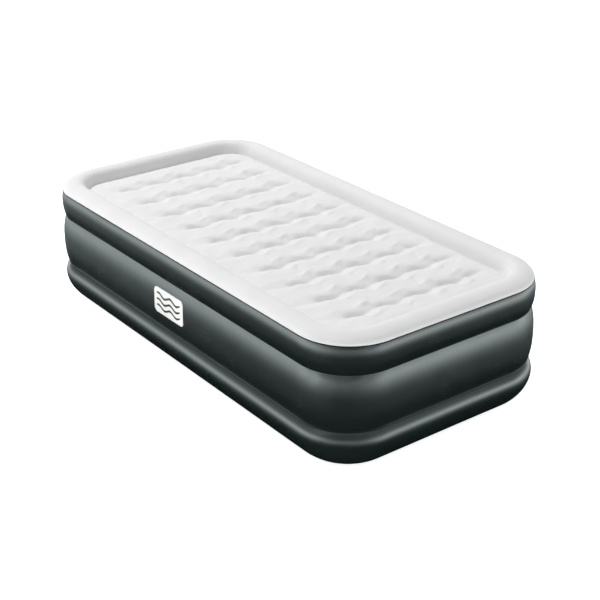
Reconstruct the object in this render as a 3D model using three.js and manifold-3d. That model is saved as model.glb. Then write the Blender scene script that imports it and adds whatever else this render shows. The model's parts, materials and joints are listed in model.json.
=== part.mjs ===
// Raised twin air mattress: a three-tier welded envelope with a sunken quilted top,
// internal sheets and tension beams, and a built-in electric pump at the head end.
// Millimetres. +X runs towards the foot end, +Y across, +Z up.
// The origin is on the floor, under the middle of the envelope.
import * as THREE from 'three';
import { mergeVertices } from 'three/addons/utils/BufferGeometryUtils.js';
import { LoftGeometry } from 'three/addons/geometries/LoftGeometry.js';
import Module from 'manifold-3d';

const wasm = await Module();
wasm.setup();

// ---------------------------------------------------------------- driving dimensions
const GAP = 0.3;                    // left between pieces that touch
const HALF_LENGTH = 955;            // reference outline that every inset is measured from
const HALF_WIDTH = 484.5;
const CORNER_RADIUS = 206;
const CORNER_STEPS = 5;
const SKIN = 4;                     // stand-in thickness of the envelope's walls
const SHEET = 2;                    // stand-in thickness of the internal sheets

// Heights of the welds, from the floor up, and how far each lies inside the outline.
const BASE = { z: 0, inset: 76 };
const LOWER_WAIST = { z: 158.6, inset: 11.5 };
const UPPER_WAIST = { z: 365.4, inset: 10.9 };
const RIM_SEAM = { z: 468.3, inset: 6.5 };
const TIER_STEPS = 6;
const LOWER_BULGE = 41.8;
const MIDDLE_BULGE = 14.9;
const UPPER_BULGE = 8.7;
const BEAD = 2.4;                   // height of the weld bead under the white top

// Top sheet: a raised border round a sunken sleeping panel with crosswise furrows.
const CROWN_Z = 497.5;
const CROWN_INSET = 68;
const PANEL_Z = 455;
const PANEL_INSET = 104;
const FURROW_COUNT = 10;
const FURROW_PITCH = 158;
const FURROW_DEPTH = 20;
const FURROW_HALF_WIDTH = 30;
const FURROW_STRAIGHT = 560;

// Internal tension beams.
const BEAM = 3;
const TOP_BEAM_LENGTH = 580;
const TOP_BEAM_WAVE = 12;
const TOP_BEAM_PERIOD = 140;
const DEEP_BEAM_COUNT = 5;
const DEEP_BEAM_PITCH = 320;
const DEEP_BEAM_LENGTH = 700;

// Side patch on the middle tier.
const PATCH = { x: -12, length: 190, low: 228, high: 328, thickness: 0.8 };

// Built-in pump, in plate coordinates: x right, y up and z out of the wall,
// with z = 0 on the front of the faceplate.
const PUMP_FACE_X = -951.5;
const PUMP_Y = 150;
const PUMP_Z = 262;
const PLATE = { width: 200, height: 130, radius: 20, thickness: 4 };
const COLLAR = { width: 224, height: 154, radius: 32, front: 3.5, floor: -5.9, back: -14 };
const THROAT = { width: 176, height: 106, radius: 8 };
const WELD_FLANGE = { width: 244, height: 174, radius: 42, front: -10 };
const HOUSING = { wall: 2.5, front: -4.3, back: -136, rear: 3 };
const SCREW = { x: 89, y: 54, shank: 1.5, head: 3.4, headHeight: 2, length: 12 };
const KNOB = { x: -50, y: 0, radius: 28, shaft: 4, front: 8.4 };
const SLOT = { count: 7, pitch: 6, firstX: -12, width: 3.4, height: 68 };
const DOOR = { x: 57, y: -14, width: 48, height: 62, hingeY: 14.9, hingeZ: -2 };
const BIN = { wall: 2, front: -4.3, back: -60 };
const SWITCH = { x: 58, y: 36, width: 28.2, height: 17, wall: 1.3, back: -18, pivotZ: -3 };
const ROCKER_TILT = THREE.MathUtils.degToRad(8);
const FAN = { x: -30, y: 0, radius: 42, front: -36, back: -62 };
const VALVE = { x: 50, y: 0, bore: 17, neck: 19.6, flange: 24, hingeY: 27.5, hingeZ: -140.9 };

// ---------------------------------------------------------------- materials
const flockedTop = new THREE.MeshStandardMaterial({ color: 0xf2f2f0, roughness: 0.95 });
const darkVinyl = new THREE.MeshStandardMaterial({ color: 0x39423f, roughness: 0.38 });
const innerVinyl = new THREE.MeshStandardMaterial({ color: 0x6d7472, roughness: 0.6 });
const patchInk = new THREE.MeshStandardMaterial({ color: 0xf4f4f2, roughness: 0.45 });
const pumpShell = new THREE.MeshStandardMaterial({ color: 0x2a2d2e, roughness: 0.5 });
const pumpTrim = new THREE.MeshStandardMaterial({ color: 0x8d9292, roughness: 0.45 });
const rubber = new THREE.MeshStandardMaterial({ color: 0x17191a, roughness: 0.8 });
const steel = new THREE.MeshStandardMaterial({ color: 0xb9bcbe, roughness: 0.3, metalness: 1 });

// ---------------------------------------------------------------- solid helpers
function weld(geometry) {
  const bare = new THREE.BufferGeometry();
  bare.setAttribute('position', geometry.attributes.position);
  bare.setIndex(geometry.index);
  return mergeVertices(bare, 1e-4);
}

function toSolid(geometry) {
  const welded = weld(geometry);
  return new wasm.Manifold(new wasm.Mesh({
    numProp: 3,
    vertProperties: new Float32Array(welded.attributes.position.array),
    triVerts: new Uint32Array(welded.index.array),
  }));
}

function toGeometry(solid) {
  const mesh = solid.getMesh();
  const geometry = new THREE.BufferGeometry();
  geometry.setAttribute('position', new THREE.BufferAttribute(mesh.vertProperties, 3));
  geometry.setIndex(new THREE.BufferAttribute(mesh.triVerts, 1));
  geometry.computeVertexNormals();
  return geometry;
}

function joined(...geometries) {
  return toGeometry(geometries.map(toSolid).reduce((whole, piece) => whole.add(piece)));
}

function cut(geometry, ...tools) {
  return toGeometry(tools.map(toSolid).reduce((whole, tool) => whole.subtract(tool), toSolid(geometry)));
}

function part(name, geometry, material, parent) {
  const mesh = new THREE.Mesh(geometry, material);
  mesh.name = name;
  parent.add(mesh);
  return mesh;
}

// ---------------------------------------------------------------- shape helpers
function roundedRectangle(width, height, radius, x = 0, y = 0) {
  const shape = new THREE.Shape();
  const right = x + width / 2;
  const top = y + height / 2;
  const left = x - width / 2;
  const bottom = y - height / 2;
  shape.moveTo(left + radius, bottom);
  shape.lineTo(right - radius, bottom);
  shape.absarc(right - radius, bottom + radius, radius, -Math.PI / 2, 0, false);
  shape.lineTo(right, top - radius);
  shape.absarc(right - radius, top - radius, radius, 0, Math.PI / 2, false);
  shape.lineTo(left + radius, top);
  shape.absarc(left + radius, top - radius, radius, Math.PI / 2, Math.PI, false);
  shape.lineTo(left, bottom + radius);
  shape.absarc(left + radius, bottom + radius, radius, Math.PI, 1.5 * Math.PI, false);
  return shape;
}

// A flat slab of one shape, from height low to height high.
function slab(shape, low, high, curveSegments = 2) {
  const geometry = new THREE.ExtrudeGeometry(shape, { depth: high - low, bevelEnabled: false, curveSegments });
  return geometry.translate(0, 0, low);
}

// An upright cylinder from low to high, centred on (x, y).
function post(radius, low, high, x = 0, y = 0, sides = 16) {
  const geometry = new THREE.CylinderGeometry(radius, radius, high - low, sides);
  return geometry.rotateX(Math.PI / 2).translate(x, y, (low + high) / 2);
}

function block(width, height, low, high, x = 0, y = 0) {
  return new THREE.BoxGeometry(width, height, high - low).translate(x, y, (low + high) / 2);
}

// A turned piece about the line (x, y), from radius and height pairs that close on themselves.
function turned(pairs, x = 0, y = 0, sides = 18) {
  const points = pairs.map(([radius, z]) => new THREE.Vector2(radius, z));
  return new THREE.LatheGeometry(points, sides).rotateX(Math.PI / 2).translate(x, y, 0);
}

// ---------------------------------------------------------------- envelope
function outlineAt(inset, z) {
  const radius = CORNER_RADIUS - inset;
  const centreX = HALF_LENGTH - CORNER_RADIUS;
  const centreY = HALF_WIDTH - CORNER_RADIUS;
  const points = [];
  for (const [signX, signY, start] of [[1, -1, -90], [1, 1, 0], [-1, 1, 90], [-1, -1, 180]]) {
    for (let step = 0; step <= CORNER_STEPS; step++) {
      const angle = THREE.MathUtils.degToRad(start + 90 * step / CORNER_STEPS);
      const x = signX * centreX + radius * Math.cos(angle);
      const y = signY * centreY + radius * Math.sin(angle);
      points.push(new THREE.Vector3(x, y, z));
    }
  }
  return points;
}

// Insets and heights up the outside of one tier, which bulges between its two welds.
function tierProfile(bottom, top, bulge) {
  const profile = [];
  for (let step = 0; step <= TIER_STEPS; step++) {
    const t = step / TIER_STEPS;
    const swell = bulge * (1 - Math.abs(2 * t - 1) ** 2.2);
    profile.push({
      inset: THREE.MathUtils.lerp(bottom.inset, top.inset, t) - swell,
      z: THREE.MathUtils.lerp(bottom.z, top.z, t),
    });
  }
  return profile;
}

// The profile's inner side: every point moved square to the skin by its thickness.
function innerSide(profile, thickness) {
  const last = profile.length - 1;
  return profile.map((point, index) => {
    const before = profile[Math.max(index - 1, 0)];
    const after = profile[Math.min(index + 1, last)];
    const alongInset = after.inset - before.inset;
    const alongZ = after.z - before.z;
    const length = Math.hypot(alongInset, alongZ);
    const isEnd = index === 0 || index === last;
    return {
      inset: point.inset + thickness * alongZ / length,
      z: isEnd ? point.z : point.z - thickness * alongInset / length,
    };
  });
}

function ringWall(profile, thickness = SKIN) {
  const loop = [...profile, ...innerSide(profile, thickness).reverse()];
  const sections = loop.map(({ inset, z }) => outlineAt(inset, z));
  return weld(new LoftGeometry([...sections, sections[0]]));
}

// A full sheet across the envelope, cut to the outline at one inset.
function acrossSheet(inset, low, high, holes = []) {
  const shape = new THREE.Shape(outlineAt(inset, 0).map((point) => new THREE.Vector2(point.x, point.y)));
  shape.holes = holes;
  return slab(shape, low, high, 5);
}

function wallBetween(bottom, top, bulge, bottomGap, topGap) {
  const low = { inset: bottom.inset, z: bottom.z + bottomGap };
  const high = { inset: top.inset, z: top.z - topGap };
  return ringWall(tierProfile(low, high, bulge));
}

function topSheet() {
  const border = [
    { inset: 6.8, z: RIM_SEAM.z + GAP },
    { inset: 8.5, z: 476 },
    { inset: 15, z: 484.5 },
    { inset: 28, z: 491.5 },
    { inset: 50, z: 496 },
    { inset: CROWN_INSET, z: CROWN_Z },
    { inset: 83, z: 494.5 },
    { inset: 93, z: 486 },
    { inset: 99, z: 472 },
    { inset: PANEL_INSET, z: PANEL_Z - 1 },
  ];
  const panel = acrossSheet(PANEL_INSET - 2.5, PANEL_Z - SKIN, PANEL_Z);
  const dipRadius = (FURROW_HALF_WIDTH ** 2 + FURROW_DEPTH ** 2) / (2 * FURROW_DEPTH);
  const dipAxisZ = PANEL_Z - FURROW_DEPTH + dipRadius;
  const capsule = (radius, x) => new THREE.CapsuleGeometry(radius, FURROW_STRAIGHT, 3, 16)
    .translate(x, 0, dipAxisZ);
  const belowPanel = toSolid(block(4 * HALF_LENGTH, 4 * HALF_WIDTH, 0, PANEL_Z - SKIN / 2));
  let sheet = toSolid(ringWall(border)).add(toSolid(panel));
  for (const x of furrowPlaces()) {
    sheet = sheet.add(toSolid(capsule(dipRadius + SKIN, x)).intersect(belowPanel));
    sheet = sheet.subtract(toSolid(capsule(dipRadius, x)));
  }
  return toGeometry(sheet);
}

function furrowPlaces() {
  const places = [];
  for (let index = 0; index < FURROW_COUNT; index++) {
    places.push((index - (FURROW_COUNT - 1) / 2) * FURROW_PITCH);
  }
  return places;
}

// Round holes that let air pass through an internal sheet, near its long sides.
function airHoles() {
  const holes = [];
  for (const x of [-560, 560]) {
    for (const y of [-395, 395]) {
      const hole = new THREE.Path();
      hole.absarc(x, y, 25, 0, 2 * Math.PI, true);
      holes.push(hole);
    }
  }
  return holes;
}

// An upright strip that waves from side to side, under one furrow.
function wavyBeam(low, high) {
  const samples = Math.round(TOP_BEAM_LENGTH / TOP_BEAM_PERIOD * 5);
  const side = (offset) => {
    const points = [];
    for (let sample = 0; sample <= samples; sample++) {
      const y = TOP_BEAM_LENGTH * (sample / samples - 0.5);
      const x = offset + TOP_BEAM_WAVE * Math.sin(2 * Math.PI * y / TOP_BEAM_PERIOD);
      points.push(new THREE.Vector2(x, y));
    }
    return points;
  };
  const shape = new THREE.Shape([...side(BEAM / 2), ...side(-BEAM / 2).reverse()]);
  return slab(shape, low, high);
}

function sidePatch() {
  const wall = tierProfile(LOWER_WAIST, UPPER_WAIST, MIDDLE_BULGE);
  const yAt = (z, standOff) => {
    const above = Math.max(1, wall.findIndex((point) => point.z >= z));
    const low = wall[above - 1];
    const high = wall[above];
    const t = (z - low.z) / (high.z - low.z);
    return -(HALF_WIDTH - THREE.MathUtils.lerp(low.inset, high.inset, t)) - standOff;
  };
  const heights = [PATCH.low, ...wall.map((point) => point.z).filter((z) => z > PATCH.low && z < PATCH.high),
    PATCH.high];
  const outer = heights.map((z) => new THREE.Vector2(yAt(z, GAP + PATCH.thickness), z));
  const inner = heights.map((z) => new THREE.Vector2(yAt(z, GAP), z)).reverse();
  const geometry = new THREE.ExtrudeGeometry(new THREE.Shape([...outer, ...inner]),
    { depth: PATCH.length, bevelEnabled: false });
  // The section was drawn in (y, z): turn it so that its depth runs along X.
  geometry.applyMatrix4(new THREE.Matrix4().makeBasis(
    new THREE.Vector3(0, 1, 0), new THREE.Vector3(0, 0, 1), new THREE.Vector3(1, 0, 0)));
  return geometry.translate(PATCH.x - PATCH.length / 2, 0, 0);
}

function addEnvelope(parent) {
  const halfSheet = SHEET / 2;
  const besideSheet = halfSheet + GAP;
  const bottomTop = SKIN - 1;
  part('top_sheet', topSheet(), flockedTop, parent);
  const beadProfile = [
    { inset: 5.2, z: RIM_SEAM.z - BEAD },
    { inset: 4.6, z: RIM_SEAM.z - BEAD / 2 },
    { inset: 5.2, z: RIM_SEAM.z },
  ];
  part('rim_weld_bead', ringWall(beadProfile), darkVinyl, parent);
  part('upper_wall', wallBetween(UPPER_WAIST, RIM_SEAM, UPPER_BULGE, besideSheet, BEAD + GAP), darkVinyl, parent);

  const pumpHole = slab(roundedRectangle(COLLAR.width + 2 * GAP, COLLAR.height + 2 * GAP, COLLAR.radius + GAP),
    -40, 40);
  pumpHole.applyMatrix4(plateMatrix());
  const middleWall = wallBetween(LOWER_WAIST, UPPER_WAIST, MIDDLE_BULGE, besideSheet, besideSheet);
  part('middle_wall', cut(middleWall, pumpHole), darkVinyl, parent);
  part('lower_wall', wallBetween({ ...BASE, z: bottomTop }, LOWER_WAIST, LOWER_BULGE, GAP, besideSheet),
    darkVinyl, parent);
  part('bottom_sheet', acrossSheet(BASE.inset, BASE.z, bottomTop), darkVinyl, parent);
  for (const [name, waist] of [['upper_divider', UPPER_WAIST], ['lower_divider', LOWER_WAIST]]) {
    const sheet = acrossSheet(waist.inset + 0.5, waist.z - halfSheet, waist.z + halfSheet, airHoles());
    part(name, sheet, innerVinyl, parent);
  }

  const furrowUnderside = PANEL_Z - FURROW_DEPTH - SKIN;
  furrowPlaces().forEach((x, index) => {
    const beam = wavyBeam(UPPER_WAIST.z + besideSheet, furrowUnderside - GAP);
    part(`top_beam_${index + 1}`, beam, innerVinyl, parent).position.x = x;
  });
  for (let index = 0; index < DEEP_BEAM_COUNT; index++) {
    const x = (index - (DEEP_BEAM_COUNT - 1) / 2) * DEEP_BEAM_PITCH;
    const middle = block(BEAM, DEEP_BEAM_LENGTH, LOWER_WAIST.z + besideSheet, UPPER_WAIST.z - besideSheet);
    const base = block(BEAM, DEEP_BEAM_LENGTH, bottomTop + GAP, LOWER_WAIST.z - besideSheet);
    part(`middle_beam_${index + 1}`, middle, innerVinyl, parent).position.x = x;
    part(`base_beam_${index + 1}`, base, innerVinyl, parent).position.x = x;
  }
  part('side_patch', sidePatch(), patchInk, parent);
}

// ---------------------------------------------------------------- pump
// Places plate coordinates on the head end: right is -Y, up is +Z and out is -X.
function plateMatrix() {
  const matrix = new THREE.Matrix4().makeBasis(
    new THREE.Vector3(0, -1, 0), new THREE.Vector3(0, 0, 1), new THREE.Vector3(-1, 0, 0));
  return matrix.setPosition(PUMP_FACE_X, PUMP_Y, PUMP_Z);
}

function screwPlaces() {
  return [[-SCREW.x, SCREW.y], [SCREW.x, SCREW.y], [SCREW.x, -SCREW.y], [-SCREW.x, -SCREW.y]];
}

function screwHoles(radius, low, high) {
  return screwPlaces().map(([x, y]) => post(radius, low, high, x, y, 8));
}

function mountingCollar() {
  const body = slab(roundedRectangle(COLLAR.width, COLLAR.height, COLLAR.radius), COLLAR.back, COLLAR.front);
  const weldFlange = slab(roundedRectangle(WELD_FLANGE.width, WELD_FLANGE.height, WELD_FLANGE.radius),
    COLLAR.back, WELD_FLANGE.front);
  const rebate = slab(roundedRectangle(PLATE.width + 2 * GAP, PLATE.height + 2 * GAP, PLATE.radius + GAP),
    COLLAR.floor, COLLAR.front + 1);
  const throat = slab(roundedRectangle(THROAT.width, THROAT.height, THROAT.radius), COLLAR.back - 1, 0);
  return cut(joined(body, weldFlange), rebate, throat, ...screwHoles(SCREW.shank + GAP, -13, 0));
}

function collarGasket() {
  const outer = roundedRectangle(PLATE.width - 1, PLATE.height - 1, PLATE.radius - 0.5);
  outer.holes = [roundedRectangle(THROAT.width + 1, THROAT.height + 1, THROAT.radius + 0.5)];
  const ring = slab(outer, COLLAR.floor + GAP, -PLATE.thickness - GAP);
  return cut(ring, ...screwHoles(SCREW.shank + GAP, -10, 0));
}

function faceplate() {
  const plate = slab(roundedRectangle(PLATE.width, PLATE.height, PLATE.radius), -PLATE.thickness, 0);
  const slots = [];
  for (let index = 0; index < SLOT.count; index++) {
    slots.push(block(SLOT.width, SLOT.height, -10, 10, SLOT.firstX + SLOT.pitch * index, 0));
  }
  const doorway = block(DOOR.width + 0.6, DOOR.height + 0.6, -10, 10, DOOR.x, DOOR.y);
  const switchway = block(SWITCH.width + 0.6, SWITCH.height + 0.6, -10, 10, SWITCH.x, SWITCH.y);
  const hingeBore = new THREE.CylinderGeometry(1.3, 1.3, DOOR.width + 8, 12).rotateZ(Math.PI / 2)
    .translate(DOOR.x, DOOR.hingeY, DOOR.hingeZ);
  const shaftHole = post(KNOB.shaft + 0.35, -10, 10, KNOB.x, KNOB.y, 24);
  return cut(plate, doorway, switchway, hingeBore, shaftHole, ...slots, ...screwHoles(SCREW.shank + GAP, -10, 10));
}

function faceplateScrew() {
  const tip = -SCREW.length;
  const screw = turned([[0, tip], [SCREW.shank, tip + 1], [SCREW.shank, GAP], [SCREW.head, GAP],
    [SCREW.head - 0.6, GAP + SCREW.headHeight], [0, GAP + SCREW.headHeight]], 0, 0, 12);
  const top = GAP + SCREW.headHeight;
  return cut(screw, block(3.6, 0.9, top - 1, top + 1), block(0.9, 3.6, top - 1, top + 1));
}

function pumpHousing() {
  const { wall, front, back, rear } = HOUSING;
  const width = THROAT.width - 2 * GAP;
  const height = THROAT.height - 2 * GAP;
  const outside = slab(roundedRectangle(width, height, THROAT.radius - GAP), back, front);
  const inside = slab(roundedRectangle(width - 2 * wall, height - 2 * wall, THROAT.radius - wall),
    back + rear, front + 1);
  return cut(outside, inside, post(VALVE.neck + GAP, back - 1, back + rear + 1, VALVE.x, VALVE.y, 20));
}

function cordBin() {
  const { wall, front, back } = BIN;
  const outside = block(DOOR.width + 2 * wall, DOOR.height + 2 * wall, back, front, DOOR.x, DOOR.y);
  const inside = block(DOOR.width, DOOR.height, back + wall, front + 1, DOOR.x, DOOR.y);
  return cut(outside, inside, post(5.4, back - 1, back + wall + 1, DOOR.x + 12, DOOR.y - 18));
}

// A grommet whose groove holds it in the bin's back wall.
function cordGland() {
  const groove = 5;
  const flange = 7.5;
  const bore = 3.3;
  const near = BIN.back + BIN.wall + GAP;
  const far = BIN.back - GAP;
  return turned([[bore, far - 2], [flange, far - 2], [flange, far], [groove, far], [groove, near],
    [flange, near], [flange - 1, near + 2], [bore, near + 2], [bore, far - 2]], DOOR.x + 12, DOOR.y - 18, 20);
}

function cordDoor() {
  const width = DOOR.width - 0.6;
  const bottom = DOOR.y - DOOR.height / 2 + GAP;
  const panel = block(width, DOOR.hingeY - bottom, -2.6, -0.2, DOOR.x, (DOOR.hingeY + bottom) / 2);
  const lip = block(20, 2.4, -1, 2.2, DOOR.x, bottom + 3);
  const barrel = new THREE.CylinderGeometry(1.9, 1.9, width, 16).rotateZ(Math.PI / 2)
    .translate(DOOR.x, DOOR.hingeY, DOOR.hingeZ);
  const bore = new THREE.CylinderGeometry(1.25, 1.25, width + 2, 16).rotateZ(Math.PI / 2)
    .translate(DOOR.x, DOOR.hingeY, DOOR.hingeZ);
  return cut(joined(panel, lip, barrel), bore);
}

function doorHingePin() {
  return new THREE.CylinderGeometry(1.1, 1.1, DOOR.width + 7, 12).rotateZ(Math.PI / 2)
    .translate(DOOR.x, DOOR.hingeY, DOOR.hingeZ);
}

function switchBody() {
  const { x, y, width, height, wall, back, pivotZ } = SWITCH;
  const body = block(width, height, back, 1.5, x, y);
  const bezel = slab(roundedRectangle(33, 21, 3, x, y), GAP, 1.5, 2);
  const inside = block(width - 2 * wall, height - 2 * wall, back + wall, 3, x, y);
  const pivotHole = new THREE.CylinderGeometry(1.35, 1.35, height - 0.8, 12).translate(x, y, pivotZ);
  return cut(joined(body, bezel), inside, pivotHole);
}

function rockerSwitch() {
  const width = 22.4;
  const height = 13.6;
  const shape = new THREE.Shape([[-0.5, -1.5], [0.5, -1.5], [0.5, 5.4], [0, 3.6], [-0.5, 5.4]]
    .map(([across, z]) => new THREE.Vector2(across * width, z)));
  const paddle = new THREE.ExtrudeGeometry(shape, { depth: height, bevelEnabled: false })
    .translate(0, 0, -height / 2).rotateX(Math.PI / 2);
  const pivot = new THREE.CylinderGeometry(1.2, 1.2, height + 1.6, 12);
  return joined(paddle, pivot).rotateY(-ROCKER_TILT).translate(SWITCH.x, SWITCH.y, SWITCH.pivotZ);
}

function selectorKnob() {
  const { radius, shaft, front, x, y } = KNOB;
  const disc = turned([[0, -25], [shaft, -25], [shaft, GAP], [radius, GAP], [radius, 3], [radius - 1.5, 4.5],
    [0, 4.5]], x, y, 24);
  const grip = slab(roundedRectangle(10, 46, 4.9, x, y), 4, front, 3);
  return joined(disc, grip);
}

function portPlace(turn) {
  const angle = THREE.MathUtils.degToRad(turn);
  return [KNOB.x + 18 * Math.cos(angle), KNOB.y + 18 * Math.sin(angle)];
}

function selectorValve() {
  const disc = post(29, -24, -21, KNOB.x, KNOB.y, 24);
  const shaftHole = post(KNOB.shaft + GAP, -30, 0, KNOB.x, KNOB.y, 16);
  return cut(disc, shaftHole, post(8, -30, 0, ...portPlace(0), 12), post(8, -30, 0, ...portPlace(180), 12));
}

function portPlate() {
  const plate = slab(roundedRectangle(105, 99.4, 4, -32, 0), -30, -27.5, 1);
  return cut(plate, post(8, -40, 0, ...portPlace(90), 12), post(8, -40, 0, ...portPlace(-90), 12));
}

function fanHousing() {
  const { x, y, radius, front, back } = FAN;
  const cup = turned([[15, front], [radius, front], [radius, back], [radius - 3, back], [radius - 3, front - 3],
    [15, front - 3], [15, front]].reverse(), x, y, 24);
  const outlet = block(24, 30, back + 4, front - 6, x, y + radius);
  return cut(cup, outlet);
}

function impeller() {
  const { x, y, back } = FAN;
  const hub = post(9, back + 4, back + 19, x, y);
  const disc = post(36, back + 4, back + 6, x, y, 20);
  const blades = [];
  for (let index = 0; index < 7; index++) {
    const blade = block(26, 1.8, back + 5, back + 19, 21, 0).rotateZ(2 * Math.PI * index / 7);
    blades.push(blade.translate(x, y, 0));
  }
  return cut(joined(disc, hub, ...blades), post(2 + GAP, back, back + 40, x, y, 16));
}

function motorBracket() {
  const plate = slab(roundedRectangle(84, 99.4, 4, FAN.x, FAN.y), FAN.back - 3.3, FAN.back - GAP, 1);
  return cut(plate, post(9, FAN.back - 10, FAN.back + 10, FAN.x, FAN.y));
}

function motor() {
  const face = FAN.back - 3.6;
  return turned([[0, face - 52], [20, face - 52], [23, face - 49], [23, face], [8, face], [8, face + 6],
    [2.15, face + 6], [2.15, face - 10], [0, face - 10]], FAN.x, FAN.y, 16);
}

function valveSeat() {
  const rear = HOUSING.back;
  const ring = turned([[VALVE.bore, rear - 3], [VALVE.flange, rear - 3], [VALVE.flange, rear - GAP],
    [VALVE.neck, rear - GAP], [VALVE.neck, rear + 4], [VALVE.bore, rear + 4], [VALVE.bore, rear - 3]],
    VALVE.x, VALVE.y, 20);
  const ears = [-10, 10].map((side) => block(3, 9, rear - 7, rear - 1, VALVE.x + side, VALVE.hingeY - 1.5));
  const pinHole = new THREE.CylinderGeometry(1.1, 1.1, 30, 12).rotateZ(Math.PI / 2)
    .translate(VALVE.x, VALVE.hingeY, VALVE.hingeZ);
  return cut(joined(ring, ...ears), pinHole);
}

function checkValveFlap() {
  const back = HOUSING.back - 3 - GAP;
  const disc = post(20.5, back - 1.6, back, VALVE.x, VALVE.y, 20);
  const arm = block(14, VALVE.hingeY - 15, back - 2.2, back - 0.6, VALVE.x, (VALVE.hingeY + 15) / 2);
  const barrel = new THREE.CylinderGeometry(1.8, 1.8, 16, 12).rotateZ(Math.PI / 2)
    .translate(VALVE.x, VALVE.hingeY, VALVE.hingeZ);
  const bore = new THREE.CylinderGeometry(1.1, 1.1, 20, 12).rotateZ(Math.PI / 2)
    .translate(VALVE.x, VALVE.hingeY, VALVE.hingeZ);
  return cut(joined(disc, arm, barrel), bore);
}

function flapHingePin() {
  return new THREE.CylinderGeometry(0.95, 0.95, 25, 12).rotateZ(Math.PI / 2)
    .translate(VALVE.x, VALVE.hingeY, VALVE.hingeZ);
}

function addPump(parent) {
  const pump = new THREE.Group();
  pump.applyMatrix4(plateMatrix());
  parent.add(pump);
  part('mounting_collar', mountingCollar(), pumpShell, pump);
  part('collar_gasket', collarGasket(), rubber, pump);
  part('faceplate', faceplate(), pumpShell, pump);
  screwPlaces().forEach(([x, y], index) => {
    part(`faceplate_screw_${index + 1}`, faceplateScrew(), steel, pump).position.set(x, y, 0);
  });
  part('pump_housing', pumpHousing(), pumpShell, pump);
  part('cord_bin', cordBin(), pumpShell, pump);
  part('cord_gland', cordGland(), rubber, pump);
  part('cord_door', cordDoor(), pumpShell, pump);
  part('door_hinge_pin', doorHingePin(), steel, pump);
  part('switch_body', switchBody(), pumpShell, pump);
  part('rocker_switch', rockerSwitch(), pumpTrim, pump);
  part('selector_knob', selectorKnob(), pumpTrim, pump);
  part('selector_valve', selectorValve(), pumpShell, pump);
  part('port_plate', portPlate(), pumpShell, pump);
  part('fan_housing', fanHousing(), pumpShell, pump);
  part('impeller', impeller(), pumpTrim, pump);
  part('motor_shaft', post(2, FAN.back - 12, FAN.back + 20, FAN.x, FAN.y, 16), steel, pump);
  part('motor_bracket', motorBracket(), steel, pump);
  part('motor', motor(), steel, pump);
  part('valve_seat', valveSeat(), pumpShell, pump);
  part('check_valve_flap', checkValveFlap(), rubber, pump);
  part('flap_hinge_pin', flapHingePin(), steel, pump);
}

const mattress = new THREE.Group();
addEnvelope(mattress);
addPump(mattress);

export default mattress;
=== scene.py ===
"""Looks of the raised air mattress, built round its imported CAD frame. Metres, +Z up."""
import json
import math

import bpy
import numpy as np
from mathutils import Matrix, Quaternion, Vector, noise
from mathutils.bvhtree import BVHTree
from mathutils.geometry import delaunay_2d_cdt


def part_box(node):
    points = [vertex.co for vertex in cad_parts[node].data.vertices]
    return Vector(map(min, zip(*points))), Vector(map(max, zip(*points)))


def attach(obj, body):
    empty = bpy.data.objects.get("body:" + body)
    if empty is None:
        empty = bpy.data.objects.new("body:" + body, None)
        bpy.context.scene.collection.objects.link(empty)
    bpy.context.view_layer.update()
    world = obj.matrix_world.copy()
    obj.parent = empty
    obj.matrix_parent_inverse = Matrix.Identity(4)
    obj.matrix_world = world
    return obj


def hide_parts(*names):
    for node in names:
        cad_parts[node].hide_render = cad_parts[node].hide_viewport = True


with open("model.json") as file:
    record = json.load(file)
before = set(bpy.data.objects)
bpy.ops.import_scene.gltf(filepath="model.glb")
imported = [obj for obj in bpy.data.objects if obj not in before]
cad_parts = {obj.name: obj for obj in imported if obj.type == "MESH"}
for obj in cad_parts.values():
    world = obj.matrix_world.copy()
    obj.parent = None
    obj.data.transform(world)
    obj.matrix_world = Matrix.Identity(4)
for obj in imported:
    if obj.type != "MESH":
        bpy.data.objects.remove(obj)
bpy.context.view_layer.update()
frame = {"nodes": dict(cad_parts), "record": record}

# ---------------------------------------------------------------- driving dimensions
# The envelope is measured inwards from one rounded outline, which the top sheet's box gives.
RIM_INSET = 0.0068
TOP_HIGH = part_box("top_sheet")[1]
HALF_LENGTH = TOP_HIGH.x + RIM_INSET
HALF_WIDTH = TOP_HIGH.y + RIM_INSET
CORNER_RADIUS = 0.206
CROWN_Z = TOP_HIGH.z

UPPER_LOW, UPPER_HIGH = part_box("upper_wall")
MIDDLE_LOW, MIDDLE_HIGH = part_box("middle_wall")
LOWER_LOW, LOWER_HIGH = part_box("lower_wall")
RIM_Z = UPPER_HIGH.z + 0.003
UPPER_WAIST = {"z": (UPPER_LOW.z + MIDDLE_HIGH.z) / 2, "inset": 0.0109}
LOWER_WAIST = {"z": (MIDDLE_LOW.z + LOWER_HIGH.z) / 2, "inset": 0.0115}
BASE = {"z": LOWER_LOW.z, "inset": 0.076}
BOTTOM_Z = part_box("bottom_sheet")[0].z + 0.0002
SKIN = 0.0025
UPPER_BULGE = 0.0087
MIDDLE_BULGE = 0.0149
LOWER_BULGE = 0.0418
WELD_GAP = 0.0004

# The quilted panel, which rises over SHOULDER from the crease at the foot of the border.
CREASE_INSET = 0.104
CREASE_Z = 0.447
PANEL_Z = 0.456
SHOULDER = 0.030
DEEPEST_Z = CREASE_Z - 0.010

# The furrows cross the panel. FURROW_SHIFT is how far their middle lies along +X.
FURROW_COUNT = 10
FURROW_PITCH = 0.158
FURROW_SHIFT = 0.013
FURROW_CENTRE_Y = 0.020
FURROW_HALF_LENGTH = 0.300
FADE_INSIDE = 0.045
FADE_OUTSIDE = 0.030

# Each furrow is a chain of narrow deep pinches with wide shallow lumps between them.
PINCH_PERIOD = 0.1355
PINCH_Y = 0.038
PINCH_DEPTH = 0.0220
LUMP_DEPTH = 0.0095
PINCH_BANK = 0.028
LUMP_BANK = 0.044
PUCKER_HEIGHT = 0.0045
PUCKER_WIDTH = 0.010

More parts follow.
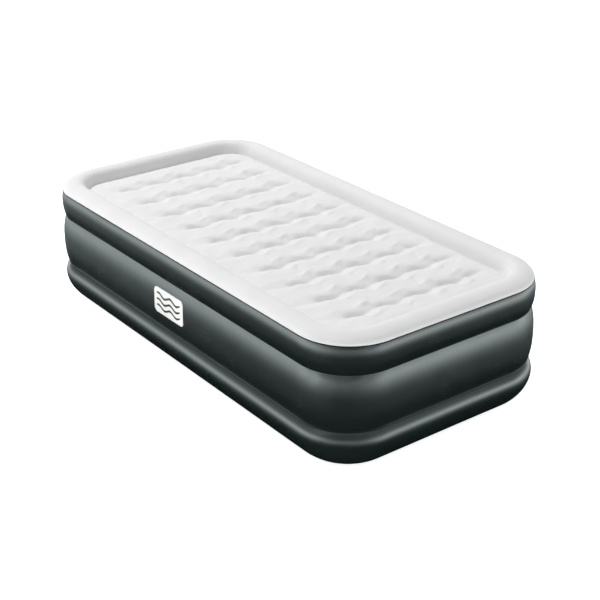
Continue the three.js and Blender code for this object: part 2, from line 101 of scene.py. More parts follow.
# The weld lines sway by WANDER along each furrow, and the whole set is drawn towards one place.
WANDER = 0.0100
WANDER_Y = 0.077
BOW_CENTRE_X = 0.11
BOW_HALF_LENGTH = 0.82
BOW_RISE = 0.009
BOW_DROP = 0.022

# The grid that the panel's points lie on.
COLUMNS_PER_FURROW = 26
ROW_PITCH = 0.0060
HALF_ROWS = 62

# The pump end and the printed patch.
COLLAR_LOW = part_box("mounting_collar")[0]
COLLAR_WIDTH = 0.224
COLLAR_HEIGHT = 0.154
COLLAR_RADIUS = 0.032
PUMP_Y = 0.150
PUMP_Z = 0.262
OPENING_CLEARANCE = 0.0006
OPENING_ENDS_X = (-0.88, -1.0)
PATCH_LOW, PATCH_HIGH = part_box("side_patch")
PATCH_RADIUS = 0.018
WAVE_COUNT = 3
WAVE_REACH = 0.078
WAVE_PERIOD = 0.078
WAVE_SPACING = 0.024
WAVE_HEIGHT = 0.0065
WAVE_HALF_WIDTH = 0.0042

# The beams that weld the underside down in lines.
BASE_BEAM_PITCH = 0.32


# ---------------------------------------------------------------- small helpers
def smoothstep(low, high, value):
    t = np.clip((value - low) / (high - low), 0.0, 1.0)
    return t * t * (3 - 2 * t)


def relief(points, scale, seed=0.0):
    """Smooth noise from -1 to 1 at each point."""
    shift = Vector((seed, seed * 0.7, seed * 1.3))
    return np.array([noise.noise(Vector(p) * scale + shift) for p in points])


def mesh_object(name, vertices, faces, smooth=True):
    mesh = bpy.data.meshes.new(name)
    mesh.from_pydata([tuple(v) for v in vertices], [], faces)
    mesh.update()
    if smooth:
        mesh.polygons.foreach_set("use_smooth", [True] * len(mesh.polygons))
    obj = bpy.data.objects.new(name, mesh)
    bpy.context.collection.objects.link(obj)
    return obj


def apply_modifiers(obj):
    graph = bpy.context.evaluated_depsgraph_get()
    mesh = bpy.data.meshes.new_from_object(obj.evaluated_get(graph))
    obj.modifiers.clear()
    obj.data = mesh


def thicken(obj, thickness, offset=-1.0):
    modifier = obj.modifiers.new("skin", "SOLIDIFY")
    modifier.thickness = thickness
    modifier.offset = offset
    modifier.use_rim = True
    apply_modifiers(obj)


def inflate(obj, pinned, cap, slack, pressure=4.0, frames=14):
    """Lets air pressure puff a sheet that is held along its welds. No point moves further than cap."""
    rest = np.array([v.co for v in obj.data.vertices])
    group = obj.vertex_groups.new(name="welds")
    group.add([int(index) for index in pinned], 1.0, "REPLACE")
    cloth = obj.modifiers.new("cloth", "CLOTH")
    cloth.settings.vertex_group_mass = "welds"
    cloth.settings.use_pressure = True
    cloth.settings.uniform_pressure_force = pressure
    cloth.settings.effector_weights.gravity = 0
    cloth.settings.shrink_min = -slack
    cloth.settings.quality = 4
    cloth.settings.tension_stiffness = 40
    cloth.settings.compression_stiffness = 40
    cloth.settings.shear_stiffness = 20
    cloth.settings.bending_stiffness = 1.0
    cloth.settings.air_damping = 4
    cloth.point_cache.frame_start = 1
    cloth.point_cache.frame_end = frames
    for frame_number in range(1, frames + 1):
        bpy.context.scene.frame_set(frame_number)
    apply_modifiers(obj)
    bpy.context.scene.frame_set(1)
    obj.vertex_groups.clear()
    moved = np.array([v.co for v in obj.data.vertices]) - rest
    length = np.linalg.norm(moved, axis=1, keepdims=True)
    placed = rest + moved * np.minimum(1.0, cap / np.maximum(length, 1e-9))
    obj.data.vertices.foreach_set("co", placed.astype(np.float32).ravel())
    obj.data.update()


def filled(outline, spacing):
    """Triangles that fill a closed outline, with inner points on a grid."""
    outline = np.array(outline, float)
    low, high = outline.min(0), outline.max(0)
    us = np.arange(low[0] + spacing, high[0], spacing)
    vs = np.arange(low[1] + spacing, high[1], spacing)
    grid = np.stack(np.meshgrid(us, vs), -1).reshape(-1, 2)
    after = np.roll(outline, -1, axis=0)
    crossings = np.zeros(len(grid), int)
    near = np.full(len(grid), np.inf)
    for start, end in zip(outline, after):
        if start[1] != end[1]:
            lowest, highest = min(start[1], end[1]), max(start[1], end[1])
            spans = (grid[:, 1] > lowest) & (grid[:, 1] <= highest)
            at = start[0] + (grid[:, 1] - start[1]) / (end[1] - start[1]) * (end[0] - start[0])
            crossings += spans & (at > grid[:, 0])
        near = np.minimum(near, np.linalg.norm(grid - start, axis=1))
    inner = grid[(crossings % 2 == 1) & (near > 0.4 * spacing)]
    points = [Vector(p) for p in np.vstack([outline, inner])]
    made = delaunay_2d_cdt(points, [], [list(range(len(outline)))], 1, 1e-7)
    return np.array([tuple(v) for v in made[0]]), [tuple(face) for face in made[2]]


def rounded_rectangle(width, height, radius, steps=8):
    """Points round a rectangle with round corners, counter-clockwise, centred on the origin."""
    places = []
    for sign_u, sign_v, start in ((1, -1, -90), (1, 1, 0), (-1, 1, 90), (-1, -1, 180)):
        for step in range(steps + 1):
            angle = math.radians(start + 90 * step / steps)
            places.append((sign_u * (width / 2 - radius) + radius * math.cos(angle),
                           sign_v * (height / 2 - radius) + radius * math.sin(angle)))
    return places


# ---------------------------------------------------------------- the rounded outline
def outline_template(corner_steps=30, long_steps=132, short_steps=52):
    """Points on the reference outline, counter-clockwise, with outward normals.

    The third value is 1 at the middle of a corner and 0 along the straight sides.
    """
    centre_x = HALF_LENGTH - CORNER_RADIUS
    centre_y = HALF_WIDTH - CORNER_RADIUS
    places, normals, corner = [], [], []
    corners = [(1, -1, -90, short_steps), (1, 1, 0, long_steps),
               (-1, 1, 90, short_steps), (-1, -1, 180, long_steps)]
    for index, (sign_x, sign_y, start, side_steps) in enumerate(corners):
        centre = np.array([sign_x * centre_x, sign_y * centre_y])
        for step in range(corner_steps + 1):
            angle = math.radians(start + 90 * step / corner_steps)
            normal = np.array([math.cos(angle), math.sin(angle)])
            places.append(centre + CORNER_RADIUS * normal)
            normals.append(normal)
            corner.append(math.sin(math.pi * step / corner_steps) ** 0.5)
        next_x, next_y = corners[(index + 1) % 4][:2]
        side_start = places[-1]
        side_end = np.array([next_x * centre_x, next_y * centre_y]) + CORNER_RADIUS * normals[-1]
        for step in range(1, side_steps):
            places.append(side_start + (side_end - side_start) * step / side_steps)
            normals.append(normals[-1])
            corner.append(0.0)
    return np.array(places), np.array(normals), np.array(corner)


OUTLINE, NORMALS, CORNER = outline_template()
RING = len(OUTLINE)
STEPS = np.linalg.norm(np.roll(OUTLINE, -1, axis=0) - OUTLINE, axis=1)
ALONG = np.concatenate([[0.0], np.cumsum(STEPS)[:-1]])


def ring(inset, z):
    """One ring of points. inset and z are numbers or one value for each point of the outline."""
    inset = np.broadcast_to(np.asarray(inset, float), (RING,))
    flat = OUTLINE - NORMALS * inset[:, None]
    return np.column_stack([flat, np.broadcast_to(np.asarray(z, float), (RING,))])


def ring_faces(rows, closed=False):
    """Quads between rings; closed joins the last ring to the first."""
    faces = []
    for row in range(rows if closed else rows - 1):
        low = row * RING
        high = ((row + 1) % rows) * RING
        for column in range(RING):
            after = (column + 1) % RING
            faces.append((low + column, low + after, high + after, high + column))
    return faces


def inset_of(x, y):
    """How far a point lies inside the reference outline."""
    qx = np.abs(x) - (HALF_LENGTH - CORNER_RADIUS)
    qy = np.abs(y) - (HALF_WIDTH - CORNER_RADIUS)
    outside = np.hypot(np.maximum(qx, 0), np.maximum(qy, 0))
    return CORNER_RADIUS - outside - np.minimum(np.maximum(qx, qy), 0)


# ---------------------------------------------------------------- materials
def new_material(name, color, roughness):
    material = bpy.data.materials.new(name)
    material.use_nodes = True
    shader = material.node_tree.nodes["Principled BSDF"]
    shader.inputs["Base Color"].default_value = (*color, 1.0)
    shader.inputs["Roughness"].default_value = roughness
    return material, material.node_tree, shader


def add_node(tree, kind, **settings):
    node = tree.nodes.new(kind)
    for name, value in settings.items():
        setattr(node, name, value)
    return node


def object_noise(tree, scale, detail=2.0, stretch=(1, 1, 1)):
    place = add_node(tree, "ShaderNodeTexCoord")
    mapping = add_node(tree, "ShaderNodeMapping")
    mapping.inputs["Scale"].default_value = stretch
    texture = add_node(tree, "ShaderNodeTexNoise")
    texture.inputs["Scale"].default_value = scale
    texture.inputs["Detail"].default_value = detail
    tree.links.new(place.outputs["Object"], mapping.inputs["Vector"])
    tree.links.new(mapping.outputs["Vector"], texture.inputs["Vector"])
    return texture.outputs["Fac"]


def ramp(tree, factor, low, high, low_value, high_value):
    """Maps a factor from low..high to low_value..high_value, and clamps it there."""
    node = add_node(tree, "ShaderNodeMapRange")
    node.inputs["From Min"].default_value = low
    node.inputs["From Max"].default_value = high
    node.inputs["To Min"].default_value = low_value
    node.inputs["To Max"].default_value = high_value
    tree.links.new(factor, node.inputs["Value"])
    return node.outputs["Result"]


def mix_colors(tree, factor, first, second):
    node = add_node(tree, "ShaderNodeMix", data_type="RGBA")
    node.inputs["A"].default_value = (*first, 1.0)
    node.inputs["B"].default_value = (*second, 1.0)
    tree.links.new(factor, node.inputs["Factor"])
    return node.outputs["Result"]


def add_bump(tree, shader, heights, strength, depths):
    """Chains one bump for each height, each with its own depth in metres."""
    previous = None
    for height, depth in zip(heights, depths):
        bump = add_node(tree, "ShaderNodeBump")
        bump.inputs["Strength"].default_value = strength
        bump.inputs["Distance"].default_value = depth
        tree.links.new(height, bump.inputs["Height"])
        if previous is not None:
            tree.links.new(previous, bump.inputs["Normal"])
        previous = bump.outputs["Normal"]
    tree.links.new(previous, shader.inputs["Normal"])


def flocked_material():
    """Short velvety flocking: a matt white pile with a fine grain and faint nap marks."""
    material, tree, shader = new_material("flocked_white", (0.78, 0.785, 0.78), 0.95)
    shader.inputs["Sheen Weight"].default_value = 0.25
    shader.inputs["Sheen Roughness"].default_value = 0.4
    shader.inputs["Specular IOR Level"].default_value = 0.2
    nap = ramp(tree, object_noise(tree, 9.0, 4.0), 0.35, 0.65, 0.0, 1.0)
    brushed_down, brushed_up = (0.765, 0.768, 0.765), (0.795, 0.797, 0.792)
    tree.links.new(mix_colors(tree, nap, brushed_down, brushed_up), shader.inputs["Base Color"])
    grain = object_noise(tree, 900.0, 3.0)
    add_bump(tree, shader, [grain], 0.5, [0.0004])
    return material


def vinyl_material(name, color, roughness):
    """Smooth satin vinyl with a faint calendered grain and slow changes in gloss."""
    material, tree, shader = new_material(name, color, roughness)
    shader.inputs["Specular IOR Level"].default_value = 0.9
    tone = ramp(tree, object_noise(tree, 3.0, 3.0), 0.3, 0.7, 0.0, 1.0)
    darker = tuple(0.9 * c for c in color)
    lighter = tuple(1.12 * c for c in color)
    tree.links.new(mix_colors(tree, tone, darker, lighter), shader.inputs["Base Color"])
    cloudy = object_noise(tree, 14.0, 4.0)
    gloss = ramp(tree, cloudy, 0.3, 0.7, roughness - 0.025, roughness + 0.025)
    tree.links.new(gloss, shader.inputs["Roughness"])
    grain = object_noise(tree, 1400.0, 2.0)
    waves = object_noise(tree, 11.0, 2.0)
    add_bump(tree, shader, [grain, waves], 0.3, [0.00002, 0.0008])
    return material


def plastic_material(name, color, roughness, specular=0.5):
    """Moulded plastic or rubber with a fine spark-eroded grain."""
    material, tree, shader = new_material(name, color, roughness)
    shader.inputs["Specular IOR Level"].default_value = specular
    tone = object_noise(tree, 60.0, 3.0)
    darker = tuple(0.92 * c for c in color)
    lighter = tuple(1.08 * c for c in color)
    tree.links.new(mix_colors(tree, tone, darker, lighter), shader.inputs["Base Color"])
    grain = object_noise(tree, 1800.0, 2.0)
    add_bump(tree, shader, [grain], 0.5, [0.00006])
    return material


def metal_material(name, color, roughness):
    """Plated metal with fine scratches along X."""
    material, tree, shader = new_material(name, color, roughness)
    shader.inputs["Metallic"].default_value = 1.0
    scratches = object_noise(tree, 300.0, 3.0, (1, 8, 8))
    worn = ramp(tree, scratches, 0.3, 0.7, roughness - 0.06, roughness + 0.1)
    tree.links.new(worn, shader.inputs["Roughness"])
    add_bump(tree, shader, [scratches], 0.3, [0.00002])
    return material


FLOCK = flocked_material()
VINYL = vinyl_material("dark_vinyl", (0.0062, 0.0108, 0.0108), 0.25)
INNER_VINYL = vinyl_material("inner_vinyl", (0.30, 0.33, 0.32), 0.5)
INK = vinyl_material("patch_white", (0.80, 0.80, 0.78), 0.4)
SHELL = plastic_material("pump_shell", (0.022, 0.025, 0.026), 0.45)
TRIM = plastic_material("pump_trim", (0.22, 0.235, 0.235), 0.4)
RUBBER = plastic_material("rubber", (0.012, 0.012, 0.013), 0.75)
# The seam cords' near-black matt colour is painted shade. It is darker and duller than the walls' own
# vinyl, so the welds read as dark lines of shade.
SEAM_AND_PAINTED_SHADE = plastic_material("seam_vinyl_and_painted_shade", (0.003, 0.0045, 0.0045), 0.8, specular=0.15)
STEEL = metal_material("plated_steel", (0.62, 0.63, 0.64), 0.28)


def finish_piece(obj, material, body, slot, *nodes):
    """Gives a piece its material and body, and hides the CAD nodes that it stands for. The slot argument
    is not used.
    """
    obj.data.materials.clear()
    obj.data.materials.append(material)
    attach(obj, body)
    if nodes:
        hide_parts(*nodes)


# ---------------------------------------------------------------- white top
def curve_through(points, per_span=20):
    """A smooth curve through points, as dense samples, by Catmull-Rom spans."""
    points = np.array(points, float)
    padded = np.vstack([2 * points[0] - points[1], points, 2 * points[-1] - points[-2]])
    dense = []
    for span in range(len(points) - 1):
        p0, p1, p2, p3 = padded[span:span + 4]
        for step in range(per_span):
            t = step / per_span
            dense.append(0.5 * (2 * p1 + (p2 - p0) * t + (2 * p0 - 5 * p1 + 4 * p2 - p3) * t ** 2
                                + (3 * p1 - p0 - 3 * p2 + p3) * t ** 3))
    dense.append(points[-1])
    return np.array(dense)


# The raised border's section, as insets and heights from the rim over its crown to the crease.
BORDER = curve_through([
    (RIM_INSET, RIM_Z), (0.0078, 0.4735), (0.0115, 0.4805), (0.0190, 0.4872),
    (0.030, 0.4925), (0.043, 0.4962), (0.056, CROWN_Z), (0.068, 0.4966),
    (0.0785, 0.4933), (0.0875, 0.4868), (0.0945, 0.4770), (0.0998, 0.4640),
    (CREASE_INSET, CREASE_Z)])


def lumpiness(y):
    """From 0 at a pinch to 1 half way between two pinches."""
    return 0.5 - 0.5 * np.cos(2 * math.pi * (y - PINCH_Y) / PINCH_PERIOD)


def furrow_length(y):
    """1 along a furrow, fading to 0 past its two ends."""
    away = np.abs(y - FURROW_CENTRE_Y)
    return 1 - smoothstep(FURROW_HALF_LENGTH - FADE_INSIDE, FURROW_HALF_LENGTH + FADE_OUTSIDE, away)


def wander(y):
    """How far each weld line strays along X."""
    return WANDER * np.cos(2 * math.pi * (y - WANDER_Y) / PINCH_PERIOD) * furrow_length(y)


def bow(x):
    """How far the fabric's tension pulls the middle furrows along X, against the end ones."""
    return BOW_RISE - BOW_DROP * ((x - BOW_CENTRE_X) / BOW_HALF_LENGTH) ** 2


def furrow_offset(x, y):
    """Signed distance along X from the nearest weld line."""
    place = (x - FURROW_SHIFT - bow(x) - wander(y)) / FURROW_PITCH + (FURROW_COUNT - 1) / 2
    nearest = np.clip(np.round(place), 0, FURROW_COUNT - 1)
    return (place - nearest) * FURROW_PITCH


def panel_dip(x, y):
    """How far the furrows pull the panel down, as heights of 0 or less."""
    offset = furrow_offset(x, y)
    lump = lumpiness(y)
    bank = PINCH_BANK + (LUMP_BANK - PINCH_BANK) * lump
    depth = PINCH_DEPTH + (LUMP_DEPTH - PINCH_DEPTH) * lump
    share = np.clip(np.abs(offset) / bank, 0, 1)
    return -depth * (1 - share) ** 2 * furrow_length(y)


def puckers(x, y):
    """The gathered fabric: a soft ridge behind each lump, on both sides of the weld."""
    offset = furrow_offset(x, y)
    ridge = np.exp(-((np.abs(offset) - LUMP_BANK) / PUCKER_WIDTH) ** 2)
    return PUCKER_HEIGHT * lumpiness(y) ** 2 * ridge * furrow_length(y)


def top_height(x, y):
    """The white top's height before it is puffed: the border outside the crease, the panel inside."""
    inset = inset_of(x, y)
    border = np.interp(inset, BORDER[:, 0], BORDER[:, 1])
    inside = inset - CREASE_INSET
    level = CREASE_Z + (PANEL_Z - CREASE_Z) * (1 - np.clip(1 - inside / SHOULDER, 0, 1) ** 2.4)
    panel = np.maximum(level + panel_dip(x, y), DEEPEST_Z)
    return np.where(inset < CREASE_INSET, border, panel)


def top_sheet():
    """The flocked sheet: rings over the border, and a grid that follows the welds over the panel."""
    border_insets = np.concatenate([
        [RIM_INSET, 0.0073, 0.0080, 0.0092, 0.0110, 0.0135],
        np.arange(0.017, 0.075, 0.006),
        np.arange(0.077, CREASE_INSET - 0.001, 0.0032),
        [CREASE_INSET, CREASE_INSET + 0.004],
    ])
    flat = [ring(inset, 0)[:, :2] for inset in border_insets]
    column = FURROW_PITCH / COLUMNS_PER_FURROW
    half_columns = int((HALF_LENGTH - CREASE_INSET) / column)
    xs = np.arange(-half_columns, half_columns + 1) * column + FURROW_SHIFT
    ys = np.arange(-HALF_ROWS, HALF_ROWS + 1) * ROW_PITCH
    grid_x, grid_y = np.meshgrid(xs, ys)
    grid_x = grid_x + bow(grid_x) + wander(grid_y)
    inside = inset_of(grid_x, grid_y) > CREASE_INSET + 0.0072
    flat.append(np.column_stack([grid_x[inside], grid_y[inside]]))
    points = np.vstack(flat)
    made = delaunay_2d_cdt([Vector(p) for p in points], [], [], 0, 1e-7)
    placed = np.array([tuple(v) for v in made[0]])
    heights = top_height(placed[:, 0], placed[:, 1])
    inset = inset_of(placed[:, 0], placed[:, 1])
    puff = smoothstep(CREASE_INSET, CREASE_INSET + SHOULDER, inset)
    spots = np.column_stack([placed, heights])
    broad = 0.0014 * relief(spots, 9.0, 3.0)
    medium = 0.0021 * relief(spots, 22.0, 5.0)
    heights = heights + (broad + medium) * puff
    faces = [tuple(face) for face in made[2]]
    obj = mesh_object("white_top", np.column_stack([placed, heights]), faces)
    offset = furrow_offset(placed[:, 0], placed[:, 1])
    welded = (np.abs(offset) < 0.5 * column) & (furrow_length(placed[:, 1]) > 0.3)
    held = welded | (inset < CREASE_INSET + 0.001)
    inflate(obj, np.flatnonzero(held), cap=0.0026, slack=0.005)
    puffed = np.array([v.co for v in obj.data.vertices])
    fine = 0.0008 * relief(puffed, 42.0, 7.0)
    puffed[:, 2] += (puckers(puffed[:, 0], puffed[:, 1]) + fine) * puff
    obj.data.vertices.foreach_set("co", puffed.astype(np.float32).ravel())
    thicken(obj, SKIN)
    finish_piece(obj, FLOCK, "envelope", "flocked_top", "top_sheet")


# ---------------------------------------------------------------- dark walls
def tier_rows(bottom, top, bulge, fullness, rows=34):
    """Insets and heights up one tier. Rows crowd towards the two welds.

    The bulge is circular with fullness 0, and flatter with sharper turns at the welds towards 1.
    """
    t = 0.5 - 0.5 * np.cos(np.linspace(0, math.pi, rows))
    chord = top["z"] - bottom["z"]
    radius = (chord ** 2 / 4 + bulge ** 2) / (2 * bulge)
    swell = np.sqrt(radius ** 2 - (chord * (t - 0.5)) ** 2) - (radius - bulge)
    full = bulge * (1 - np.abs(2 * t - 1) ** 2.8)
    swell = swell + fullness * (full - swell)
    inset = bottom["inset"] + (top["inset"] - bottom["inset"]) * t - swell
    z = bottom["z"] + chord * t
    return t, inset, z


def beside_collar(flat, z):
    """Distance from the pump collar's edge, for points on the pump end; large elsewhere."""
    du = np.abs(flat[:, 1] - PUMP_Y) - (COLLAR_WIDTH / 2 - COLLAR_RADIUS)
    dv = abs(z - PUMP_Z) - (COLLAR_HEIGHT / 2 - COLLAR_RADIUS)
    outside = np.hypot(np.maximum(du, 0), max(dv, 0)) + np.minimum(np.maximum(du, dv), 0) - COLLAR_RADIUS
    return np.where(NORMALS[:, 0] < -0.99, outside, 1.0)


def wall(name, bottom, top, bulge, seed, fullness=0.0):
    """One inflated tier, puckered at its two welds and drawn flat to the pump collar's seat."""
    t, insets, heights = tier_rows(bottom, top, bulge, fullness)
    seat = HALF_LENGTH + COLLAR_LOW.x + 0.0015
    rows = []
    for share, inset, z in zip(t, insets, heights):
        flat = ring(inset, z)
        slow = relief(flat, 3.2, seed)
        along_weld = [ALONG * 30, np.full(RING, share * 4), np.full(RING, seed)]
        pleats = relief(np.column_stack(along_weld), 1.0)
        near_weld = math.exp(-share / 0.10) + math.exp(-(1 - share) / 0.10)
        free = min(1.0, 12 * share * (1 - share))
        pleat_depth = 0.0004 + 0.0022 * CORNER
        push = 0.0012 * slow * free + pleat_depth * pleats * near_weld * free
        eased = (1 - smoothstep(0.004, 0.045, beside_collar(flat, z))) * free
        rows.append(ring((inset - push) * (1 - eased) + seat * eased, z))
    return mesh_object(name, np.vstack(rows), ring_faces(len(rows)))


def cut_pump_opening(obj):
    """Cuts the hole that the pump's collar is welded into."""
    outline = rounded_rectangle(COLLAR_WIDTH + OPENING_CLEARANCE, COLLAR_HEIGHT + OPENING_CLEARANCE,
                                COLLAR_RADIUS)
    count = len(outline)
    vertices = [(x, PUMP_Y + u, PUMP_Z + v) for x in OPENING_ENDS_X for u, v in outline]
    faces = [tuple(range(count)), tuple(range(2 * count - 1, count - 1, -1))]
    faces += [(i, i + count, (i + 1) % count + count, (i + 1) % count) for i in range(count)]
    cutter = mesh_object("cutter", vertices, faces, smooth=False)
    modifier = obj.modifiers.new("opening", "BOOLEAN")
    modifier.operation = "DIFFERENCE"
    modifier.solver = "EXACT"
    modifier.object = cutter
    apply_modifiers(obj)
    bpy.data.objects.remove(cutter)


def add_walls():
    """The three tiers. Returns the middle one, which carries the patch."""
    rim = {"z": UPPER_HIGH.z, "inset": RIM_INSET}
    upper_low = {**UPPER_WAIST, "z": UPPER_WAIST["z"] + WELD_GAP}
    middle_high = {**UPPER_WAIST, "z": UPPER_WAIST["z"] - WELD_GAP}
    middle_low = {**LOWER_WAIST, "z": LOWER_WAIST["z"] + WELD_GAP}
    lower_high = {**LOWER_WAIST, "z": LOWER_WAIST["z"] - WELD_GAP}
    tiers = {
        "upper_wall": wall("upper_tier", upper_low, rim, UPPER_BULGE, 11.0, 1.0),
        "middle_wall": wall("middle_tier", middle_low, middle_high, MIDDLE_BULGE, 23.0, 0.8),
        "lower_wall": wall("lower_tier", BASE, lower_high, LOWER_BULGE, 37.0),
    }
    for node, obj in tiers.items():
        thicken(obj, SKIN)
        if node == "middle_wall":
            cut_pump_opening(obj)
            obj.data.set_sharp_from_angle(angle=math.radians(40))
        finish_piece(obj, VINYL, "envelope", "dark_vinyl", node)
    return tiers["middle_wall"]


def seam_cord_and_painted_shade(name, inset, z, radius, *nodes):
    """A thin welded cord that runs right round the envelope, coloured near-black and matt as painted
    shade: the dark line of shade under the white rim and in each waist.
    """
    steps = 12
    rows = []
    for step in range(steps):
        angle = 2 * math.pi * step / steps
        rows.append(ring(inset - radius * math.cos(angle), z + radius * math.sin(angle)))
    obj = mesh_object(name, np.vstack(rows), ring_faces(steps, closed=True))
    finish_piece(obj, SEAM_AND_PAINTED_SHADE, "envelope", "dark_vinyl", *nodes)


def add_seams_and_painted_shade():
    # The rim bead is the real weld bead, and the waist cords sit on the welds between the tiers. Their
    # near-black matt colour is painted shade.
    seam_cord_and_painted_shade("rim_bead_and_painted_shade", RIM_INSET + 0.0008, RIM_Z - 0.0016, 0.0021, "rim_weld_bead")
    seam_cord_and_painted_shade("upper_seam_and_painted_shade", UPPER_WAIST["inset"] + 0.0006, UPPER_WAIST["z"], 0.0013)
    seam_cord_and_painted_shade("lower_seam_and_painted_shade", LOWER_WAIST["inset"] + 0.0006, LOWER_WAIST["z"], 0.0013)


def add_base():
    """The flat underside, a little puffed between the weld lines of its beams."""
    outline = ring(BASE["inset"] + 0.0002, 0)[:, :2]
    placed, faces = filled(outline, 0.012)
    inset = inset_of(placed[:, 0], placed[:, 1]) - BASE["inset"]
    bay = (placed[:, 0] + BASE_BEAM_PITCH / 2) / BASE_BEAM_PITCH
    beam = np.abs(bay - np.round(bay)) * BASE_BEAM_PITCH
    beam_ends = 1 - smoothstep(0.28, 0.32, np.abs(placed[:, 1]))
    beam_line = 0.0035 * np.exp(-(beam / 0.010) ** 2) * beam_ends
    edge_line = 0.0025 * np.exp(-((inset - 0.030) / 0.006) ** 2)
    turned_up = (BASE["z"] - BOTTOM_Z) * (1 - smoothstep(0.0, 0.014, inset))
    heights = BOTTOM_Z + np.maximum(turned_up, beam_line + edge_line)
    obj = mesh_object("base_sheet", np.column_stack([placed, heights]), faces)
    thicken(obj, SKIN, 1.0)
    finish_piece(obj, VINYL, "envelope", "dark_vinyl", "bottom_sheet")


# ---------------------------------------------------------------- printed patch
def on_wall(wall_tree, points, proud):
    """Lays flat (x, z) points on the long side that faces -Y, proud of it by that distance."""
    placed = []
    for x, z in points:
        hit = wall_tree.ray_cast(Vector((x, -1.0, z)), Vector((0, 1, 0)))[0]
        placed.append((x, hit.y - proud, z))
    return placed


def wave_line(u, index):
    return WAVE_SPACING * (index - 1) + WAVE_HEIGHT * math.sin(2 * math.pi * u / WAVE_PERIOD + 0.6)


def wave_outline(index):
    """One wave's closed outline: along its lower edge and back along its upper edge."""
    points = []
    for side in (-1, 1):
        for u in np.linspace(side * WAVE_REACH, -side * WAVE_REACH, 60):
            half_width = WAVE_HALF_WIDTH * math.sqrt(1 - 0.9 * (u / WAVE_REACH) ** 8)
            points.append((u, wave_line(u, index) + side * half_width))
    return points


def add_patch(middle):
    """A plain welded panel with three waves on it."""
    graph = bpy.context.evaluated_depsgraph_get()
    tree = BVHTree.FromObject(middle, graph)
    centre_x = (PATCH_LOW.x + PATCH_HIGH.x) / 2
    centre_z = (PATCH_LOW.z + PATCH_HIGH.z) / 2
    width = PATCH_HIGH.x - PATCH_LOW.x
    height = PATCH_HIGH.z - PATCH_LOW.z
    shift = np.array([centre_x, centre_z])
    plate, faces = filled(rounded_rectangle(width, height, PATCH_RADIUS), 0.006)
    panel = mesh_object("patch_panel", on_wall(tree, plate + shift, 0.0011), faces)
    thicken(panel, 0.0008)
    finish_piece(panel, INK, "envelope", "patch_ink", "side_patch")
    for index in range(WAVE_COUNT):
        flat, faces = filled(wave_outline(index), 0.0035)
        bar = mesh_object(f"patch_wave_{index + 1}", on_wall(tree, flat + shift, 0.0015), faces)
        thicken(bar, 0.0004)
        finish_piece(bar, VINYL, "envelope", "dark_vinyl")


# ---------------------------------------------------------------- CAD pieces that stay
def round_edges(node, width):
    """Rounds and smooths a moulded CAD piece's sharp edges."""
    obj = frame["nodes"][node]
    obj.modifiers.new("weld", "WELD").merge_threshold = 1e-5
    bevel = obj.modifiers.new("edges", "BEVEL")
    bevel.width = width
    bevel.segments = 2
    bevel.limit_method = "ANGLE"
    bevel.angle_limit = math.radians(32)
    obj.modifiers.new("flats", "WEIGHTED_NORMAL").keep_sharp = True
    obj.data.polygons.foreach_set("use_smooth", [True] * len(obj.data.polygons))
    obj.data.set_sharp_from_angle(angle=math.radians(30))


def dress_cad_nodes():
    """Every CAD node gets its slot's material, and the pump's visible mouldings get round edges."""
    by_slot = {"inner_vinyl": INNER_VINYL, "dark_vinyl": VINYL, "patch_ink": INK, "pump_shell": SHELL,
               "pump_trim": TRIM, "rubber": RUBBER, "steel": STEEL, "flocked_top": FLOCK}
    for part in frame["record"]["subparts"]:
        obj = frame["nodes"][part["node"]]
        obj.data.materials.clear()
        obj.data.materials.append(by_slot[part["material_slot"]])
    bevels = {"mounting_collar": 0.0012, "faceplate": 0.0006, "cord_door": 0.0005,
              "rocker_switch": 0.0006, "switch_body": 0.0004, "selector_knob": 0.0010,
              "cord_gland": 0.0003}
    bevels.update({f"faceplate_screw_{number}": 0.0002 for number in range(1, 5)})
    for node, width in bevels.items():
        round_edges(node, width)


# ---------------------------------------------------------------- stage
SKY_PEAK = 3.9
SKY_TINT = (0.90, 1.0, 1.0)
# Bands of the sky, as heights from -1, straight down, to 1, straight up, and their levels.
SKY_BANDS = [(-1.0, 0.0), (-0.62, 0.0), (-0.45, 0.14), (-0.35, 0.66), (-0.24, 2.0),
             (-0.13, 3.6), (-0.02, 3.9), (0.11, 2.0), (0.30, 0.75), (1.0, 0.45)]
# Parts of the sky that are dimmer: a direction, the cosine where dimming starts, and what is left.
DIM_QUARTERS = [((0.80, -0.60, 0.0), 0.50, 0.36),
                ((-1.0, 0.0, 0.0), 0.60, 0.45),
                ((-0.41, 0.91, 0.0), 0.55, 0.50)]
DIM_FULL = 0.95
DOME_LEVEL = 0.65
FLOOR_HALF_SIZE = 40.0
FLOOR_Z = -0.0005

# The camera looks at CAMERA_TARGET from this far away. Angles are degrees, and the lens is in mm.
CAMERA_AZIMUTH = 53.095
CAMERA_ELEVATION = 25.569
CAMERA_ROLL = -0.274
CAMERA_DISTANCE = 4.902
CAMERA_TARGET = Vector((0.0889, 0.0251, 0.1914))
CAMERA_LENS = 78.16
CAMERA_SENSOR = 36
LIGHT_TARGET = (0, 0, 0.4)


def add_floor():
    """A plain white floor, which glossy surfaces don't pick up."""
    corners = [(x * FLOOR_HALF_SIZE, y * FLOOR_HALF_SIZE, FLOOR_Z)
               for x, y in ((-1, -1), (1, -1), (1, 1), (-1, 1))]
    floor = mesh_object("floor", corners, [(0, 1, 2, 3)])
    material, _, shader = new_material("floor_white", (0.95, 0.95, 0.95), 0.9)
    shader.inputs["Specular IOR Level"].default_value = 0.0
    shader.inputs["Emission Color"].default_value = (1.0, 1.0, 1.0, 1.0)
    shader.inputs["Emission Strength"].default_value = 0.85
    floor.data.materials.append(material)
    floor.visible_glossy = False


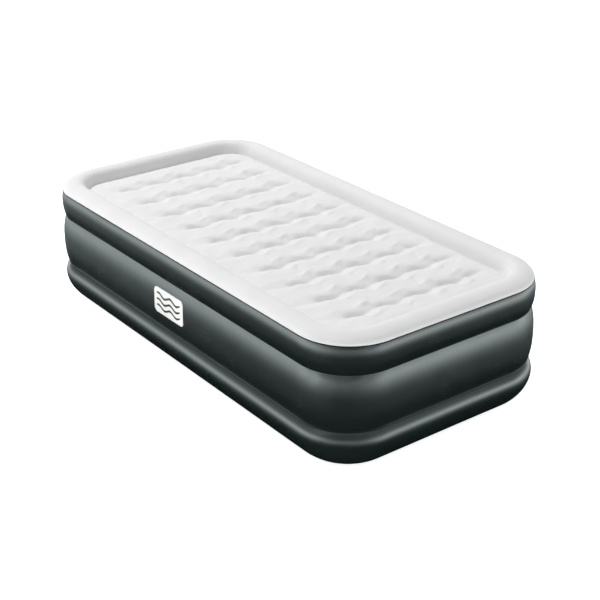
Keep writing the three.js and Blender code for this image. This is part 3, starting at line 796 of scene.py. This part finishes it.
def add_world():
    """An even dim dome, with a soft bright sky that only glossy surfaces pick up."""
    world = bpy.data.worlds.new("studio")
    bpy.context.scene.world = world
    world.use_nodes = True
    tree = world.node_tree
    place = tree.nodes.new("ShaderNodeTexCoord")
    split = tree.nodes.new("ShaderNodeSeparateXYZ")
    tree.links.new(place.outputs["Generated"], split.inputs["Vector"])
    shade = tree.nodes.new("ShaderNodeValToRGB")
    stops = shade.color_ramp.elements
    while len(stops) < len(SKY_BANDS):
        stops.new(0.5)
    for stop, (height, level) in zip(stops, SKY_BANDS):
        stop.position = (height + 1) / 2
        stop.color = (*(level / SKY_PEAK * tint for tint in SKY_TINT), 1)
    tree.links.new(ramp(tree, split.outputs["Z"], -1.0, 1.0, 0.0, 1.0), shade.inputs["Fac"])
    strength = None
    for direction, start, share in DIM_QUARTERS:
        facing = add_node(tree, "ShaderNodeVectorMath", operation="DOT_PRODUCT")
        facing.inputs[1].default_value = direction
        tree.links.new(place.outputs["Generated"], facing.inputs[0])
        dimming = ramp(tree, facing.outputs["Value"], start, DIM_FULL, 1.0, share)
        product = add_node(tree, "ShaderNodeMath", operation="MULTIPLY")
        product.inputs[0].default_value = SKY_PEAK
        if strength is not None:
            tree.links.new(strength, product.inputs[0])
        tree.links.new(dimming, product.inputs[1])
        strength = product.outputs["Value"]
    sky = tree.nodes["Background"]
    tree.links.new(shade.outputs["Color"], sky.inputs["Color"])
    tree.links.new(strength, sky.inputs["Strength"])
    dome = add_node(tree, "ShaderNodeBackground")
    dome.inputs["Strength"].default_value = DOME_LEVEL
    rays = tree.nodes.new("ShaderNodeLightPath")
    both = tree.nodes.new("ShaderNodeMixShader")
    tree.links.new(rays.outputs["Is Glossy Ray"], both.inputs["Fac"])
    tree.links.new(dome.outputs["Background"], both.inputs[1])
    tree.links.new(sky.outputs["Background"], both.inputs[2])
    tree.links.new(both.outputs["Shader"], tree.nodes["World Output"].inputs["Surface"])


def add_soft_light(name, place, size, power):
    """A square area light that faces the mattress."""
    light = bpy.data.lights.new(name, "AREA")
    light.shape = "RECTANGLE"
    light.size = light.size_y = size
    light.energy = power
    obj = bpy.data.objects.new(name, light)
    bpy.context.collection.objects.link(obj)
    obj.location = place
    obj.rotation_euler = (Vector(LIGHT_TARGET) - Vector(place)).to_track_quat("-Z", "Y").to_euler()


def add_camera():
    azimuth, elevation = math.radians(CAMERA_AZIMUTH), math.radians(CAMERA_ELEVATION)
    back = Vector((math.sin(azimuth) * math.cos(elevation),
                   -math.cos(azimuth) * math.cos(elevation),
                   math.sin(elevation)))
    data = bpy.data.cameras.new("camera")
    data.sensor_width = CAMERA_SENSOR
    data.lens = CAMERA_LENS
    camera = bpy.data.objects.new("camera", data)
    bpy.context.collection.objects.link(camera)
    camera.location = CAMERA_TARGET + back * CAMERA_DISTANCE
    camera.rotation_mode = "QUATERNION"
    roll = Quaternion((0, 0, 1), math.radians(CAMERA_ROLL))
    camera.rotation_quaternion = back.to_track_quat("Z", "Y") @ roll
    bpy.context.scene.camera = camera


add_camera()
dress_cad_nodes()
top_sheet()
middle_tier = add_walls()
add_seams_and_painted_shade()
add_base()
add_patch(middle_tier)
add_floor()
add_world()
add_soft_light("overhead", (-6.3, -1.4, 9.5), size=6.0, power=855)
add_soft_light("side_fill", (0.5, -5.0, 4.0), size=3.2, power=12)
bpy.context.scene.view_settings.view_transform = "Standard"
